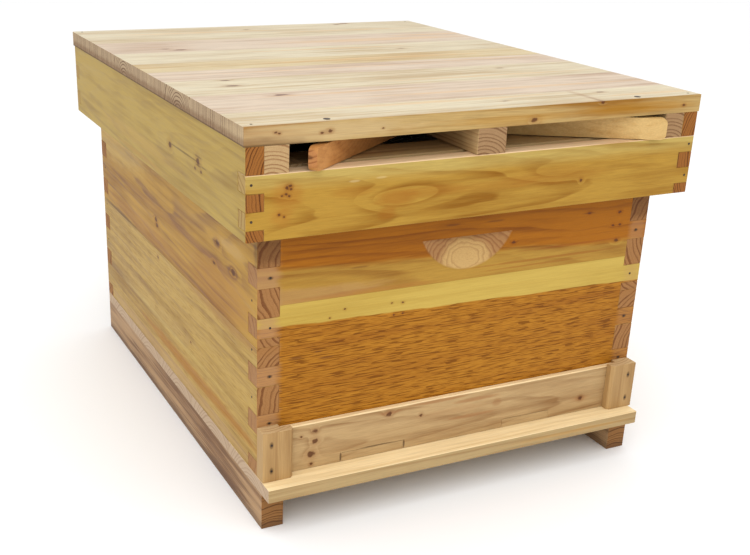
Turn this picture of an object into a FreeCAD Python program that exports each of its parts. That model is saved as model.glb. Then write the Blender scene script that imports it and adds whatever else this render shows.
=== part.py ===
"""Ten-frame wooden beehive: floor on two runners, finger-jointed brood box, frames, inner cover and lid.

X runs across the front, +Y to the back and +Z up.  The origin is the middle of the whole hive's
outline, on the ground that the runners stand on.
"""
import FreeCAD, Part
import math
import os
import re

import Sketcher

SIZES = {
    # brood box, outside, and the thickness of its boards
    "box_width": 415, "box_depth": 510, "wall_height": 264, "wall_thickness": 21,
    # height of the lower board of an end wall and of a side wall, up to its edge-glued joint
    "end_split": 163, "side_split": 126,
    # fingers of the end walls at the corners: height, pitch and the foot of the lowest
    "finger_height": 18.5, "finger_pitch": 46, "finger_start": -3.75,
    # ledge along the top inner edge of the end walls, which the frames hang on
    "rabbet_width": 10, "rabbet_depth": 17,
    # opening for the bees at the foot of the front wall
    "entry_width": 300, "entry_height": 20,
    # handhold in an end wall: a shallow cone cut off flat at the top, heights from the wall's foot
    "scoop_radius": 53.3, "scoop_inner_radius": 20.3, "scoop_depth": 12,
    "scoop_centre": 225.3, "scoop_top": 205,
    # floor boards, the landing board before the entrance, and the runners under them
    "floor_thickness": 13, "floor_count": 4, "landing_reach": 28.4, "landing_depth": 100,
    "landing_width": 412.5, "runner_height": 36, "runner_width": 21.5, "runner_reach": 12.2,
    # end stops that hold the entrance slat against the box
    "stop_width": 30, "stop_height": 49.5, "stop_depth": 14.5, "stop_lip": 10, "stop_bevel": 2.5,
    "slat_slot": 5.6,
    # entrance slat, and the gates in its lower edge
    "slat_height": 46.5, "slat_thickness": 5, "gate_height": 9, "left_gate": 66, "left_gate_centre": 92,
    "right_gate": 56, "right_gate_centre": 81,
    # room between pieces that move on each other
    "play": 0.3,
    # inner cover
    "cover_thickness": 21.5, "cover_rail": 40, "screen_thickness": 1.2, "screen_depth": 12,
    # lid: rim boards and their fingers, battens, and the planked top
    "lid_width": 456, "lid_depth": 560, "lid_board": 16, "lid_gap": 0.5, "rim_height": 55.1,
    "lid_finger": 15.1, "lid_finger_start": 9.8, "batten_height": 23, "batten_width": 21.5,
    "middle_batten": 29, "plate_thickness": 16, "plate_lap": 1.5,
    # vent shutters: slats on edge, each turning on a nail near its outer end
    "shutter_thickness": 8, "shutter_height": 19.9, "shutter_round": 5, "shutter_gap": 0.7,
    "left_pivot": 155, "right_pivot": 160, "pivot_inset": 8, "left_tail": 22.5, "right_tail": 29.8,
    "left_swing": 37.3, "right_swing": 29.05,
    "pivot_radius": 1.5, "pivot_play": 0.05, "pivot_head": 3, "pivot_head_height": 1,
    # comb frames
    "frame_count": 10, "frame_pitch": 35, "frame_length": 448, "frame_height": 232,
    "bar_length": 484, "bar_width": 27, "bar_height": 19, "lug_height": 10,
    "end_bar": 10, "shoulder_width": 34.4, "shoulder_height": 70, "waist_width": 25,
    "bottom_bar": 10, "bottom_bar_width": 20, "comb_sheet": 1.2,
    # brads: how far they stand out, and how far their rows lie from the edges
    "brad_radius": 1.1, "brad_length": 38, "brad_proud": 0.2, "wall_brad_inset": 12,
    "rim_brad_inset": 5, "stop_brad_inset": 8.5, "stop_brad_low": 11, "stop_brad_high": 37,
}
# the planks of the lid's top, from the front edge to the back edge
PLANK_WIDTHS = (52, 76, 74, 52, 50, 70, 80, 106)
SIZES.update({f"plank_{n}": width for n, width in enumerate(PLANK_WIDTHS, start=1)})

doc = FreeCAD.newDocument("Beehive")
sheet = doc.addObject("Spreadsheet::Sheet", "Sizes")
for row, (alias, value) in enumerate(SIZES.items(), start=1):
    sheet.set(f"A{row}", alias)
    sheet.set(f"B{row}", str(value))
    sheet.setAlias(f"B{row}", alias)
doc.recompute()

# levels above the ground, and the front and back faces, as formulas of the sheet's sizes
FLOOR_TOP = "(runner_height + floor_thickness)"
WALL_TOP = f"({FLOOR_TOP} + wall_height)"
COVER_FOOT = f"({WALL_TOP} + play)"
BATTEN_FOOT = f"({COVER_FOOT} + cover_thickness + lid_gap)"
PLATE_FOOT = f"({BATTEN_FOOT} + batten_height)"
PLATE_TOP = f"({PLATE_FOOT} + plate_thickness)"
RIM_FOOT = f"({BATTEN_FOOT} - rim_height)"
SHUTTER_REACH = "(right_tail * sin(right_swing) + shutter_thickness / 2 * cos(right_swing) - pivot_inset)"
LID_FRONT = f"(({SHUTTER_REACH} - lid_depth) / 2)"
LID_BACK = f"({LID_FRONT} + lid_depth)"
BOX_FRONT = f"({LID_FRONT} + (lid_depth - box_depth) / 2)"
BOX_BACK = f"({BOX_FRONT} + box_depth)"
LANDING_FRONT = f"({BOX_FRONT} - landing_reach)"

ALIAS = re.compile(r"\b(" + "|".join(sorted(SIZES, key=len, reverse=True)) + r")\b")
FREE_GUESS = 50
subparts = []


def formula(text):
    """The text with each of the sheet's words written as the expression engine reads it."""
    return ALIAS.sub(r"Sizes.\1", str(text))


def bind(target, **formulas):
    for name, text in formulas.items():
        target.setExpression(name, formula(text))


def place(target, x, y, z, turn=0):
    """Binds the target's place, turned about Z by a number of degrees or by a formula."""
    upright = FreeCAD.Vector(0, 0, 1)
    if isinstance(turn, str):
        target.Placement = FreeCAD.Placement(FreeCAD.Vector(), FreeCAD.Rotation(upright, 1))
        target.setExpression("Placement.Rotation.Angle", formula(turn))
    else:
        target.Placement = FreeCAD.Placement(FreeCAD.Vector(), FreeCAD.Rotation(upright, turn))
    for axis, text in zip("xyz", (x, y, z)):
        target.setExpression(f"Placement.Base.{axis}", formula(text))
    return target


def subpart(target, label):
    target.Label = label
    subparts.append(target)
    return target


def block(label, size, corner):
    """A plain board: its size along X, Y and Z, and its lowest corner."""
    board = subpart(doc.addObject("Part::Box", label), label)
    bind(board, Length=size[0], Width=size[1], Height=size[2])
    return place(board, *corner)


def new_body(label):
    body = doc.addObject("PartDesign::Body", label)
    body.AllowCompound = True
    return body


def plane(body, role):
    return next(part for part in body.Origin.OriginFeatures if part.Role == role)


def new_sketch(body, role, name):
    sketch = body.newObject("Sketcher::SketchObject", f"{body.Name}_{name}")
    sketch.AttachmentSupport = [(plane(body, role), "")]
    sketch.MapMode = "FlatFace"
    return sketch


def outline(body, role, name, *loops):
    """A sketch of closed straight-sided loops, each corner bound to a pair of formulas."""
    sketch = new_sketch(body, role, name)
    for corners in loops:
        first = sketch.GeometryCount
        count = len(corners)
        turns = [2 * math.pi * index / count for index in range(count)]
        guess = [FreeCAD.Vector(math.cos(turn), math.sin(turn), 0) * FREE_GUESS for turn in turns]
        for index in range(count):
            sketch.addGeometry(Part.LineSegment(guess[index], guess[(index + 1) % count]))
        for index in range(count):
            following = first + (index + 1) % count
            sketch.addConstraint(Sketcher.Constraint("Coincident", first + index, 2, following, 1))
        for index, corner in enumerate(corners):
            for kind, text in zip(("DistanceX", "DistanceY"), corner):
                number = sketch.addConstraint(Sketcher.Constraint(kind, -1, 1, first + index, 1, 1.0))
                sketch.setExpression(f"Constraints[{number}]", formula(text))
    return sketch


def box_loop(left, low, right, high):
    return [(left, low), (right, low), (right, high), (left, high)]


def pad(body, sketch, depth, middle=False):
    """Pads towards +Y from an XZ sketch and +X from a YZ sketch, or evenly to both sides."""
    feature = body.newObject("PartDesign::Pad", f"{body.Name}_pad")
    feature.Profile = sketch
    bind(feature, Length=depth)
    if middle:
        feature.SideType = "Symmetric"
    else:
        feature.Reversed = sketch.AttachmentSupport[0][0].Role == "XZ_Plane"
    doc.recompute()
    return feature


def cut_through(body, sketch):
    feature = body.newObject("PartDesign::Pocket", f"{sketch.Name}_cut")
    feature.Profile = sketch
    feature.Type = "ThroughAll"
    feature.SideType = "Symmetric"
    before = body.Shape.Volume
    doc.recompute()
    if body.Shape.Volume >= before:
        raise RuntimeError(f"{feature.Name} cuts nothing")
    return feature


def repeat(body, feature, sketch, axis, step, count, behind=None):
    """Repeats a feature along an axis of its sketch, and once more behind if that distance is given."""
    pattern = body.newObject("PartDesign::LinearPattern", f"{feature.Name}_row")
    pattern.Originals = [feature]
    pattern.Direction = (sketch, [axis])
    pattern.Mode = "Spacing"
    bind(pattern, Offset=step, Occurrences=count)
    doc.recompute()
    if behind:
        pattern.Direction2 = (sketch, ["N_Axis"])
        pattern.Reversed2 = True
        pattern.Mode2 = "Spacing"
        pattern.Occurrences2 = 2
        bind(pattern, Offset2=behind)
    body.Tip = pattern
    doc.recompute()
    return pattern


def fingered_board(label, size, notch, step, count):
    """A board on edge with comb notches at both ends.

    size is its length, height and thickness; notch is the depth, foot and height of the lowest notch.
    The outer face is at y 0 and the thickness runs to +Y.
    """
    length, height, thickness = size
    depth, foot, rise = notch
    body = new_body(label)
    pad(body, outline(body, "XZ_Plane", "face", box_loop("0", "0", length, height)), thickness)
    near = box_loop("-1", foot, depth, f"{foot} + {rise}")
    far = box_loop(f"{length} - {depth}", foot, f"{length} + 1", f"{foot} + {rise}")
    comb = outline(body, "XZ_Plane", "comb", near, far)
    repeat(body, cut_through(body, comb), comb, "V_Axis", step, count)
    return body


def brad(name, x, y, z, axis, length="brad_length"):
    """A headless nail from a point along one of the axes, given as a signed letter such as +Y."""
    rod = doc.addObject("Part::Cylinder", name)
    bind(rod, Radius="brad_radius", Height=length)
    ways = {"+X": (0, 1, 0, 90), "-X": (0, 1, 0, -90), "+Y": (1, 0, 0, -90), "-Y": (1, 0, 0, 90),
            "-Z": (1, 0, 0, 180)}
    *line, angle = ways[axis]
    rod.Placement = FreeCAD.Placement(FreeCAD.Vector(), FreeCAD.Rotation(FreeCAD.Vector(*line), angle))
    for letter, text in zip("xyz", (x, y, z)):
        rod.setExpression(f"Placement.Base.{letter}", formula(text))
    return rod


def group(label, members):
    together = doc.addObject("Part::Compound", label)
    together.Links = members
    return subpart(together, label)


# ---- brood box --------------------------------------------------------------------------------

def end_wall(side, y, turn):
    """Front or back wall: two boards with the frame ledge, the handhold and, in front, the entrance."""
    size = ("box_width", "end_split", "wall_thickness")
    notch_rise = "(finger_pitch - finger_height)"
    notch_foot = "(finger_start + finger_height)"
    x = "-box_width / 2" if turn == 0 else "box_width / 2"
    notch = ("wall_thickness", notch_foot, notch_rise)
    lower = fingered_board(f"{side}_wall_lower", size, notch, "finger_pitch", 4)
    if side == "front":
        left = "(box_width - entry_width) / 2"
        entry = box_loop(left, "-1", f"{left} + entry_width", "entry_height")
        cut_through(lower, outline(lower, "XZ_Plane", "entry", entry))
    place(subpart(lower, f"{side}_wall_lower"), x, y, FLOOR_TOP, turn)

    height = "(wall_height - end_split)"
    notch = ("wall_thickness", f"({notch_foot} + 3 * finger_pitch - end_split)", notch_rise)
    blank = fingered_board(f"{side}_wall_blank", ("box_width", height, "wall_thickness"), notch,
                           "finger_pitch", 3)
    ledge = box_loop("wall_thickness - rabbet_width", f"{height} - rabbet_depth",
                     "wall_thickness + 1", f"{height} + 1")
    cut_through(blank, outline(blank, "YZ_Plane", "ledge", ledge))

    cone = doc.addObject("Part::Cone", f"{side}_scoop_cone")
    bind(cone, Radius1="scoop_radius", Radius2="scoop_inner_radius", Height="scoop_depth")
    cone.Placement = FreeCAD.Placement(FreeCAD.Vector(), FreeCAD.Rotation(FreeCAD.Vector(1, 0, 0), -90))
    bind(cone, **{"Placement.Base.x": "box_width / 2", "Placement.Base.z": "scoop_centre - end_split"})
    below = doc.addObject("Part::Box", f"{side}_scoop_limit")
    bind(below, Length="2 * scoop_radius", Width="scoop_depth", Height="scoop_radius")
    place(below, "box_width / 2 - scoop_radius", "0", "scoop_top - end_split - scoop_radius")
    scoop = doc.addObject("Part::Common", f"{side}_scoop")
    scoop.Base = cone
    scoop.Tool = below
    upper = doc.addObject("Part::Cut", f"{side}_wall_upper")
    upper.Base = blank
    upper.Tool = scoop
    place(subpart(upper, f"{side}_wall_upper"), x, y, f"{FLOOR_TOP} + end_split", turn)


def side_wall(side, x, y, turn):
    """Left or right wall: two plain boards whose notches take the end walls' fingers."""
    notch = ("wall_thickness", "finger_start", "finger_height")
    lower = fingered_board(f"{side}_wall_lower", ("box_depth", "side_split", "wall_thickness"), notch,
                           "finger_pitch", 3)
    place(subpart(lower, f"{side}_wall_lower"), x, y, FLOOR_TOP, turn)
    notch = ("wall_thickness", "(finger_start + 3 * finger_pitch - side_split)", "finger_height")
    size = ("box_depth", "(wall_height - side_split)", "wall_thickness")
    upper = fingered_board(f"{side}_wall_upper", size, notch, "finger_pitch", 3)
    place(subpart(upper, f"{side}_wall_upper"), x, y, f"{FLOOR_TOP} + side_split", turn)


def wall_nails():
    """Brads through the end walls' fingers, and through the side walls' fingers between them."""
    rods = []
    for sign in (-1, 1):
        for level in range(1, 5):
            rise = f"{FLOOR_TOP} + finger_start + finger_height / 2 + {level} * finger_pitch"
            x = f"{sign} * (box_width / 2 - wall_brad_inset)"
            rods.append(brad("front_brad", x, f"{BOX_FRONT} - brad_proud", rise, "+Y"))
            rods.append(brad("back_brad", x, f"{BOX_BACK} + brad_proud", rise, "-Y"))
        for level in range(1, 4):
            rise = f"{FLOOR_TOP} + finger_start + finger_height / 2 + ({level} + 0.5) * finger_pitch"
            x = f"{sign} * (box_width / 2 + brad_proud)"
            way = "+X" if sign < 0 else "-X"
            for y in (f"{BOX_FRONT} + wall_brad_inset", f"{BOX_BACK} - wall_brad_inset"):
                rods.append(brad("side_brad", x, y, rise, way))
    group("wall_nails", rods)


# ---- floor ------------------------------------------------------------------------------------

def floor():
    """Landing board, floor boards and runners, with the brads that hold them together."""
    left = "-box_width / 2"
    block("landing_board", ("landing_width", "landing_depth", "floor_thickness"),
          (left, LANDING_FRONT, "runner_height"))
    width = "((box_depth + landing_reach - landing_depth) / floor_count)"
    rows = [f"({LANDING_FRONT} + landing_depth / 2)"]
    for number in range(SIZES["floor_count"]):
        y = f"({LANDING_FRONT} + landing_depth + {number} * {width})"
        block(f"floor_board_{number + 1}", ("box_width", width, "floor_thickness"),
              (left, y, "runner_height"))
        rows.append(f"({y} + {width} / 2)")
    for side, x in (("left", left), ("right", "box_width / 2 - runner_width")):
        block(f"runner_{side}", ("runner_width", "box_depth + runner_reach", "runner_height"),
              (x, f"{BOX_FRONT} - runner_reach", "0"))
    rods = []
    for sign in (-1, 1):
        x = f"{sign} * (box_width - runner_width) / 2"
        for y in rows:
            rods.append(brad("floor_brad", x, y, FLOOR_TOP, "-Z"))
    group("floor_nails", rods)


# ---- entrance ---------------------------------------------------------------------------------

def end_stop(side, sign):
    """A stop nailed to the box, whose lip covers one end of the entrance slat."""
    body = new_body(f"entrance_stop_{side}")
    lip = "(stop_depth - slat_slot)"
    corners = [("0", "0"), ("stop_width - stop_bevel", "0"), ("stop_width", "stop_bevel"),
               ("stop_width", lip), ("stop_width - stop_lip", lip),
               ("stop_width - stop_lip", "stop_depth"), ("0", "stop_depth")]
    corners = [(f"{-sign} * ({x})", y) for x, y in corners]
    feature = pad(body, outline(body, "XY_Plane", "plan", corners), "stop_height")
    feature.Reversed = False
    place(subpart(body, f"entrance_stop_{side}"), f"{sign} * box_width / 2", f"{BOX_FRONT} - stop_depth",
          FLOOR_TOP)


def entrance():
    """End stops with their brads, the slat between them, and the two gates in the slat's lower edge."""
    rods = []
    for side, sign in (("left", -1), ("right", 1)):
        end_stop(side, sign)
        for rise in ("stop_brad_low", "stop_brad_high"):
            rods.append(brad("stop_brad", f"{sign} * (box_width / 2 - stop_brad_inset)",
                             f"{BOX_FRONT} - stop_depth - brad_proud", f"{FLOOR_TOP} + {rise}", "+Y",
                             "stop_depth + wall_thickness / 2"))
    group("entrance_stop_nails", rods)

    half = "(box_width / 2 - stop_width + stop_lip - play)"
    left, right = "(-left_gate_centre)", "right_gate_centre"
    corners = [(f"-{half}", "0")]
    for centre, gate in ((left, "left_gate"), (right, "right_gate")):
        corners += [(f"{centre} - {gate} / 2", "0"), (f"{centre} - {gate} / 2", "gate_height"),
                    (f"{centre} + {gate} / 2", "gate_height"), (f"{centre} + {gate} / 2", "0")]
    corners += [(half, "0"), (half, "slat_height"), (f"-{half}", "slat_height")]
    slat = new_body("entrance_slat")
    pad(slat, outline(slat, "XZ_Plane", "face", corners), "slat_thickness")
    y = f"{BOX_FRONT} - slat_thickness - play"
    foot = f"{FLOOR_TOP} + play"
    place(subpart(slat, "entrance_slat"), "0", y, foot)
    for side, centre in (("left", left), ("right", right)):
        block(f"entrance_gate_{side}", (f"{side}_gate - 2 * play", "slat_thickness", "gate_height - play"),
              (f"{centre} - {side}_gate / 2 + play", y, foot))


# ---- comb frames ------------------------------------------------------------------------------

def frame_pieces(label, role, loop, depth, behind=None):
    """One piece for each frame in a row across the box, or one at each end of it."""
    body = new_body(label)
    sketch = outline(body, role, "section", loop)
    feature = pad(body, sketch, depth, middle=behind is None)
    across = "N_Axis" if role == "YZ_Plane" else "H_Axis"
    repeat(body, feature, sketch, across, "frame_pitch", "frame_count", behind)
    y = f"({BOX_FRONT} + box_depth / 2)"
    if behind:
        y = f"({y} - frame_length / 2)"
    foot = f"({WALL_TOP} - rabbet_depth + play + lug_height - frame_height)"
    place(subpart(body, label), "(1 - frame_count) / 2 * frame_pitch", y, foot)


def comb_frames():
    """Top bars with lugs, self-spacing end bars, bottom bars and the wax sheets they hold."""
    under = "(frame_height - bar_height)"
    neck = "(frame_height - lug_height)"
    bar, frame = "bar_length / 2", "frame_length / 2"
    top_bar = [(f"-{bar}", neck), (f"-{frame}", neck), (f"-{frame}", under), (frame, under),
               (frame, neck), (bar, neck), (bar, "frame_height"), (f"-{bar}", "frame_height")]
    frame_pieces("frame_top_bars", "YZ_Plane", top_bar, "bar_width")
    shoulder, waist = "shoulder_width / 2", "waist_width / 2"
    step = f"({under} - shoulder_height)"
    end_bar = [(f"-{waist}", "0"), (waist, "0"), (waist, f"{step} - end_bar"), (shoulder, step),
               (shoulder, under), (f"-{shoulder}", under), (f"-{shoulder}", step),
               (f"-{waist}", f"{step} - end_bar")]
    frame_pieces("frame_end_bars", "XZ_Plane", end_bar, "end_bar", behind="frame_length - end_bar")
    inside = "frame_length - 2 * end_bar"
    frame_pieces("frame_bottom_bars", "XZ_Plane",
                 box_loop("-bottom_bar_width / 2", "0", "bottom_bar_width / 2", "bottom_bar"), inside)
    frame_pieces("comb_sheets", "XZ_Plane",
                 box_loop("-comb_sheet / 2", "bottom_bar", "comb_sheet / 2", under), inside)


# ---- inner cover ------------------------------------------------------------------------------

def inner_cover():
    """A frame of four rails and a cross bar, with a fine screen in each of its two bays."""
    inner_width = "(box_width - 2 * cover_rail)"
    bay = "((box_depth - 3 * cover_rail) / 2)"
    for side, x in (("left", "-box_width / 2"), ("right", "box_width / 2 - cover_rail")):
        block(f"cover_rail_{side}", ("cover_rail", "box_depth", "cover_thickness"),
              (x, BOX_FRONT, COVER_FOOT))
    rails = (("cover_rail_front", BOX_FRONT), ("cover_cross_bar", f"{BOX_FRONT} + cover_rail + {bay}"),
             ("cover_rail_back", f"{BOX_BACK} - cover_rail"))
    for label, y in rails:
        block(label, (inner_width, "cover_rail", "cover_thickness"), (f"-{inner_width} / 2", y, COVER_FOOT))
    for number, side in enumerate(("front", "back")):
        y = f"{BOX_FRONT} + cover_rail + {number} * ({bay} + cover_rail)"
        block(f"cover_screen_{side}", (inner_width, bay, "screen_thickness"),
              (f"-{inner_width} / 2", y, f"{COVER_FOOT} + screen_depth"))


# ---- lid --------------------------------------------------------------------------------------

def lid_rim():
    """A low front board, and back and side boards up to the planks, fingered together at the corners."""
    period = "2 * lid_finger"
    rise = "(rim_height + batten_height)"
    ends = (("front", "-lid_width / 2", LID_FRONT, 0, "rim_height"),
            ("back", "lid_width / 2", LID_BACK, 180, rise))
    for side, x, y, turn, height in ends:
        notch = ("lid_board", "(lid_finger_start - lid_finger)", "lid_finger")
        board = fingered_board(f"lid_{side}", ("lid_width", height, "lid_board"), notch, period, 2)
        if side == "back":
            near = box_loop("-1", "rim_height", "lid_board", f"{rise} + 1")
            far = box_loop("lid_width - lid_board", "rim_height", "lid_width + 1", f"{rise} + 1")
            cut_through(board, outline(board, "XZ_Plane", "corners", near, far))
        place(subpart(board, f"lid_{side}"), x, y, RIM_FOOT, turn)
    sides = (("left", "-lid_width / 2", LID_BACK, -90), ("right", "lid_width / 2", LID_FRONT, 90))
    for side, x, y, turn in sides:
        notch = ("lid_board", "lid_finger_start", "lid_finger")
        board = fingered_board(f"lid_{side}", ("lid_depth", rise, "lid_board"), notch, period, 2)
        place(subpart(board, f"lid_{side}"), x, y, RIM_FOOT, turn)


def lid_top():
    """Battens that lift the planked top clear of the front board, which leaves the vents."""
    battens = (("left", "lid_board - lid_width / 2", "batten_width"),
               ("middle", "-middle_batten / 2", "middle_batten"),
               ("right", "lid_width / 2 - lid_board - batten_width", "batten_width"))
    for side, x, width in battens:
        block(f"lid_batten_{side}", (width, "lid_depth - lid_board", "batten_height"),
              (x, LID_FRONT, BATTEN_FOOT))
    y = LID_FRONT
    for number in range(1, len(PLANK_WIDTHS) + 1):
        block(f"lid_plank_{number}", ("lid_width + 2 * plate_lap", f"plank_{number}", "plate_thickness"),
              ("-lid_width / 2 - plate_lap", y, PLATE_FOOT))
        y = f"({y} + plank_{number})"


def lid_nails():
    """Brads through the end boards' fingers, and one at each corner of the top."""
    rods = []
    x = "(lid_width / 2 - rim_brad_inset)"
    corner = "lid_board / 2"
    for sign in (-1, 1):
        for level in (0, 1):
            rise = f"{RIM_FOOT} + lid_finger_start + (2 * {level} + 0.5) * lid_finger"
            rods.append(brad("lid_brad", f"{sign} * {x}", f"{LID_FRONT} - brad_proud", rise, "+Y"))
            rods.append(brad("lid_brad", f"{sign} * {x}", f"{LID_BACK} + brad_proud", rise, "-Y"))
        for y in (f"{LID_FRONT} + {corner}", f"{LID_BACK} - {corner}"):
            rods.append(brad("lid_brad", f"{sign} * (lid_width - lid_board) / 2", y,
                             f"{PLATE_TOP} + brad_proud", "-Z"))
    group("lid_nails", rods)


def shutters():
    """Two slats on edge in the front vents, each turning on its nail.

    From the nail a slat's long arm runs to the middle and its short tail to the side.
    """
    for side, sign, swing in (("left", -1, "left_swing"), ("right", 1, "-right_swing")):
        body = new_body(f"vent_shutter_{side}")
        arm = f"{-sign} * ({side}_pivot - middle_batten / 2 - 2 * shutter_gap)"
        tail = f"{sign} * {side}_tail"
        face = outline(body, "XZ_Plane", "face", box_loop(arm, "0", tail, "shutter_height"))
        pad(body, face, "shutter_thickness", middle=True)
        plan = new_sketch(body, "XY_Plane", "plan")
        plan.addGeometry(Part.Circle(FreeCAD.Vector(), FreeCAD.Vector(0, 0, 1), 1))
        plan.addConstraint(Sketcher.Constraint("Coincident", 0, 3, -1, 1))
        number = plan.addConstraint(Sketcher.Constraint("Radius", 0, 1.0))
        plan.setExpression(f"Constraints[{number}]", formula("pivot_radius + pivot_play"))
        hole = cut_through(body, plan)
        ends = [f"Edge{index}" for index, edge in enumerate(hole.Shape.Edges, start=1)
                if abs(edge.BoundBox.Center.x - sign * SIZES[f"{side}_tail"]) < 0.01
                and abs(edge.BoundBox.YLength - SIZES["shutter_thickness"]) < 0.01]
        rounding = body.newObject("PartDesign::Fillet", f"{body.Name}_corners")
        rounding.Base = (hole, ends)
        bind(rounding, Radius="shutter_round")
        place(subpart(body, f"vent_shutter_{side}"), f"{sign} * {side}_pivot",
              f"{LID_FRONT} + pivot_inset", f"{BATTEN_FOOT} + shutter_gap", swing)

    nails = new_body("shutter_nails")
    foot = "(rim_height / 3)"
    top = "(rim_height / 3 + batten_height + plate_thickness + brad_proud)"
    half = [("0", "0"), ("pivot_radius", "0"), ("pivot_radius", f"{top} - pivot_head_height"),
            ("pivot_head", f"{top} - pivot_head_height"), ("pivot_head", top), ("0", top)]
    profile = outline(nails, "XZ_Plane", "half", half)
    turned = nails.newObject("PartDesign::Revolution", "shutter_nail")
    turned.Profile = profile
    turned.ReferenceAxis = (profile, ["V_Axis"])
    turned.Angle = 360
    doc.recompute()
    repeat(nails, turned, profile, "H_Axis", "left_pivot + right_pivot", 2)
    place(subpart(nails, "shutter_nails"), "-left_pivot", f"{LID_FRONT} + pivot_inset",
          f"{BATTEN_FOOT} - {foot}")


end_wall("front", BOX_FRONT, 0)
end_wall("back", BOX_BACK, 180)
side_wall("left", "-box_width / 2", BOX_BACK, -90)
side_wall("right", "box_width / 2", BOX_FRONT, 90)
wall_nails()
floor()
entrance()
comb_frames()
inner_cover()
lid_rim()
lid_top()
lid_nails()
shutters()
doc.recompute()

failed = [item.Label for item in doc.Objects if {"Invalid", "Error"} & set(item.State)]
failed += [item.Label for item in subparts if item.Shape.isNull() or not item.Shape.isValid()]
if failed:
    raise RuntimeError(f"not built: {sorted(set(failed))}")
os.makedirs("parts", exist_ok=True)
for item in subparts:
    item.Shape.exportStep(f"parts/{item.Label}.step")
print(len(subparts), "sub-parts")
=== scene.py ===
"""Beehive: wood, wax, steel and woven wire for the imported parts, then the light, floor and camera.

Every board is solid wood: one shader works out growth rings, fibres and end grain in three
dimensions, and each board sets its tones, its place in the tree, its knots and its stains.
Materials take places in millimetres from the lowest corner of their node's box.
"""
import math

import bpy
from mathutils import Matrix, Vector


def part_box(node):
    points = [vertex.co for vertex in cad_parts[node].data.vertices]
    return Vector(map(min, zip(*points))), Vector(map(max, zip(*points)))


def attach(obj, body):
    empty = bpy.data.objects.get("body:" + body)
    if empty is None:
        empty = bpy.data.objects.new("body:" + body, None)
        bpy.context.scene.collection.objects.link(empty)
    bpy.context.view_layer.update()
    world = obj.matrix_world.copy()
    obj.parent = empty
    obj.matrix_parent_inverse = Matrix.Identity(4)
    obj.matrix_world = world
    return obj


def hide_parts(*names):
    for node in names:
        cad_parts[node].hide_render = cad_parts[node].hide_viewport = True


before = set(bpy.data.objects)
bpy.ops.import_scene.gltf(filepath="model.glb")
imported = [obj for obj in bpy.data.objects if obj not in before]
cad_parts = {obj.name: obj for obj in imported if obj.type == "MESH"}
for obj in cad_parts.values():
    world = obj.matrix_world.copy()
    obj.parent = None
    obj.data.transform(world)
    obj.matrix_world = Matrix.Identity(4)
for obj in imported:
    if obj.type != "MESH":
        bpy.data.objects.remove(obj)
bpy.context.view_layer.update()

MM = 0.001


def linear(*screen):
    """Red, green and blue from 0 to 255 as the screen shows them, as scene-linear light."""
    shares = [value / 255 for value in screen]
    light = [share / 12.92 if share <= 0.04045 else ((share + 0.055) / 1.055) ** 2.4
             for share in shares]
    return (*light, 1.0)


class Nodes:
    """Adds shader nodes to a tree; each method returns the output socket it makes."""

    def __init__(self, tree):
        self.tree = tree

    def put(self, socket, value):
        """Links a socket, or sets a plain value."""
        if isinstance(value, bpy.types.NodeSocket):
            self.tree.links.new(value, socket)
        else:
            socket.default_value = value

    def add(self, kind, inputs, **settings):
        node = self.tree.nodes.new(kind)
        for name, value in settings.items():
            setattr(node, name, value)
        for key, value in inputs.items():
            self.put(node.inputs[key], value)
        return node

    def math(self, operation, *values, clamp=False):
        node = self.add("ShaderNodeMath", dict(enumerate(values)), operation=operation,
                        use_clamp=clamp)
        return node.outputs[0]

    def vector(self, operation, *values):
        node = self.add("ShaderNodeVectorMath", dict(enumerate(values)), operation=operation)
        return node.outputs["Value" if operation in ("LENGTH", "DOT_PRODUCT") else "Vector"]

    def scaled(self, vector, factor):
        node = self.add("ShaderNodeVectorMath", {0: vector, "Scale": factor}, operation="SCALE")
        return node.outputs["Vector"]

    def step(self, value, low, high, out_low=0.0, out_high=1.0):
        """A smooth step that goes from out_low at low to out_high at high."""
        inputs = {"Value": value, "From Min": low, "From Max": high,
                  "To Min": out_low, "To Max": out_high}
        node = self.add("ShaderNodeMapRange", inputs, interpolation_type="SMOOTHSTEP", clamp=True)
        return node.outputs["Result"]

    def noise(self, vector, scale=(1, 1, 1), detail=2.0, rough=0.5):
        """Noise with cells 1 / scale long on each axis: its value from 0 to 1, and its colour."""
        inputs = {"Vector": self.vector("MULTIPLY", vector, scale), "Scale": 1.0, "Detail": detail,
                  "Roughness": rough}
        node = self.add("ShaderNodeTexNoise", inputs, noise_dimensions="3D")
        return node.outputs["Fac"], node.outputs["Color"]

    def mix(self, factor, first, second, blend="MIX"):
        """Two colours mixed."""
        inputs = {0: factor, 6: first, 7: second}
        node = self.add("ShaderNodeMix", inputs, data_type="RGBA", blend_type=blend)
        return node.outputs[2]

    def blend(self, factor, first, second):
        """Two numbers mixed."""
        node = self.add("ShaderNodeMix", {0: factor, 2: first, 3: second}, data_type="FLOAT")
        return node.outputs[0]

    def split(self, vector):
        return self.add("ShaderNodeSeparateXYZ", {0: vector}).outputs

    def join(self, x, y, z):
        return self.add("ShaderNodeCombineXYZ", {0: x, 1: y, 2: z}).outputs[0]

    def group(self, tree, **inputs):
        node = self.add("ShaderNodeGroup", {}, node_tree=tree)
        for name, value in inputs.items():
            self.put(node.inputs[name], value)
        return node.outputs


def new_group(name, inputs, outputs):
    tree = bpy.data.node_groups.new(name, "ShaderNodeTree")
    for way, sockets in (("INPUT", inputs), ("OUTPUT", outputs)):
        for socket_name, kind in sockets:
            tree.interface.new_socket(socket_name, in_out=way, socket_type=f"NodeSocket{kind}")
    nodes = Nodes(tree)
    start = tree.nodes.new("NodeGroupInput").outputs
    end = tree.nodes.new("NodeGroupOutput").inputs
    return nodes, start, end


def new_material(name):
    """An empty node material, and the helper that fills it."""
    material = bpy.data.materials.new(name)
    material.use_nodes = True
    material.node_tree.nodes.clear()
    return material, Nodes(material.node_tree)


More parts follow.
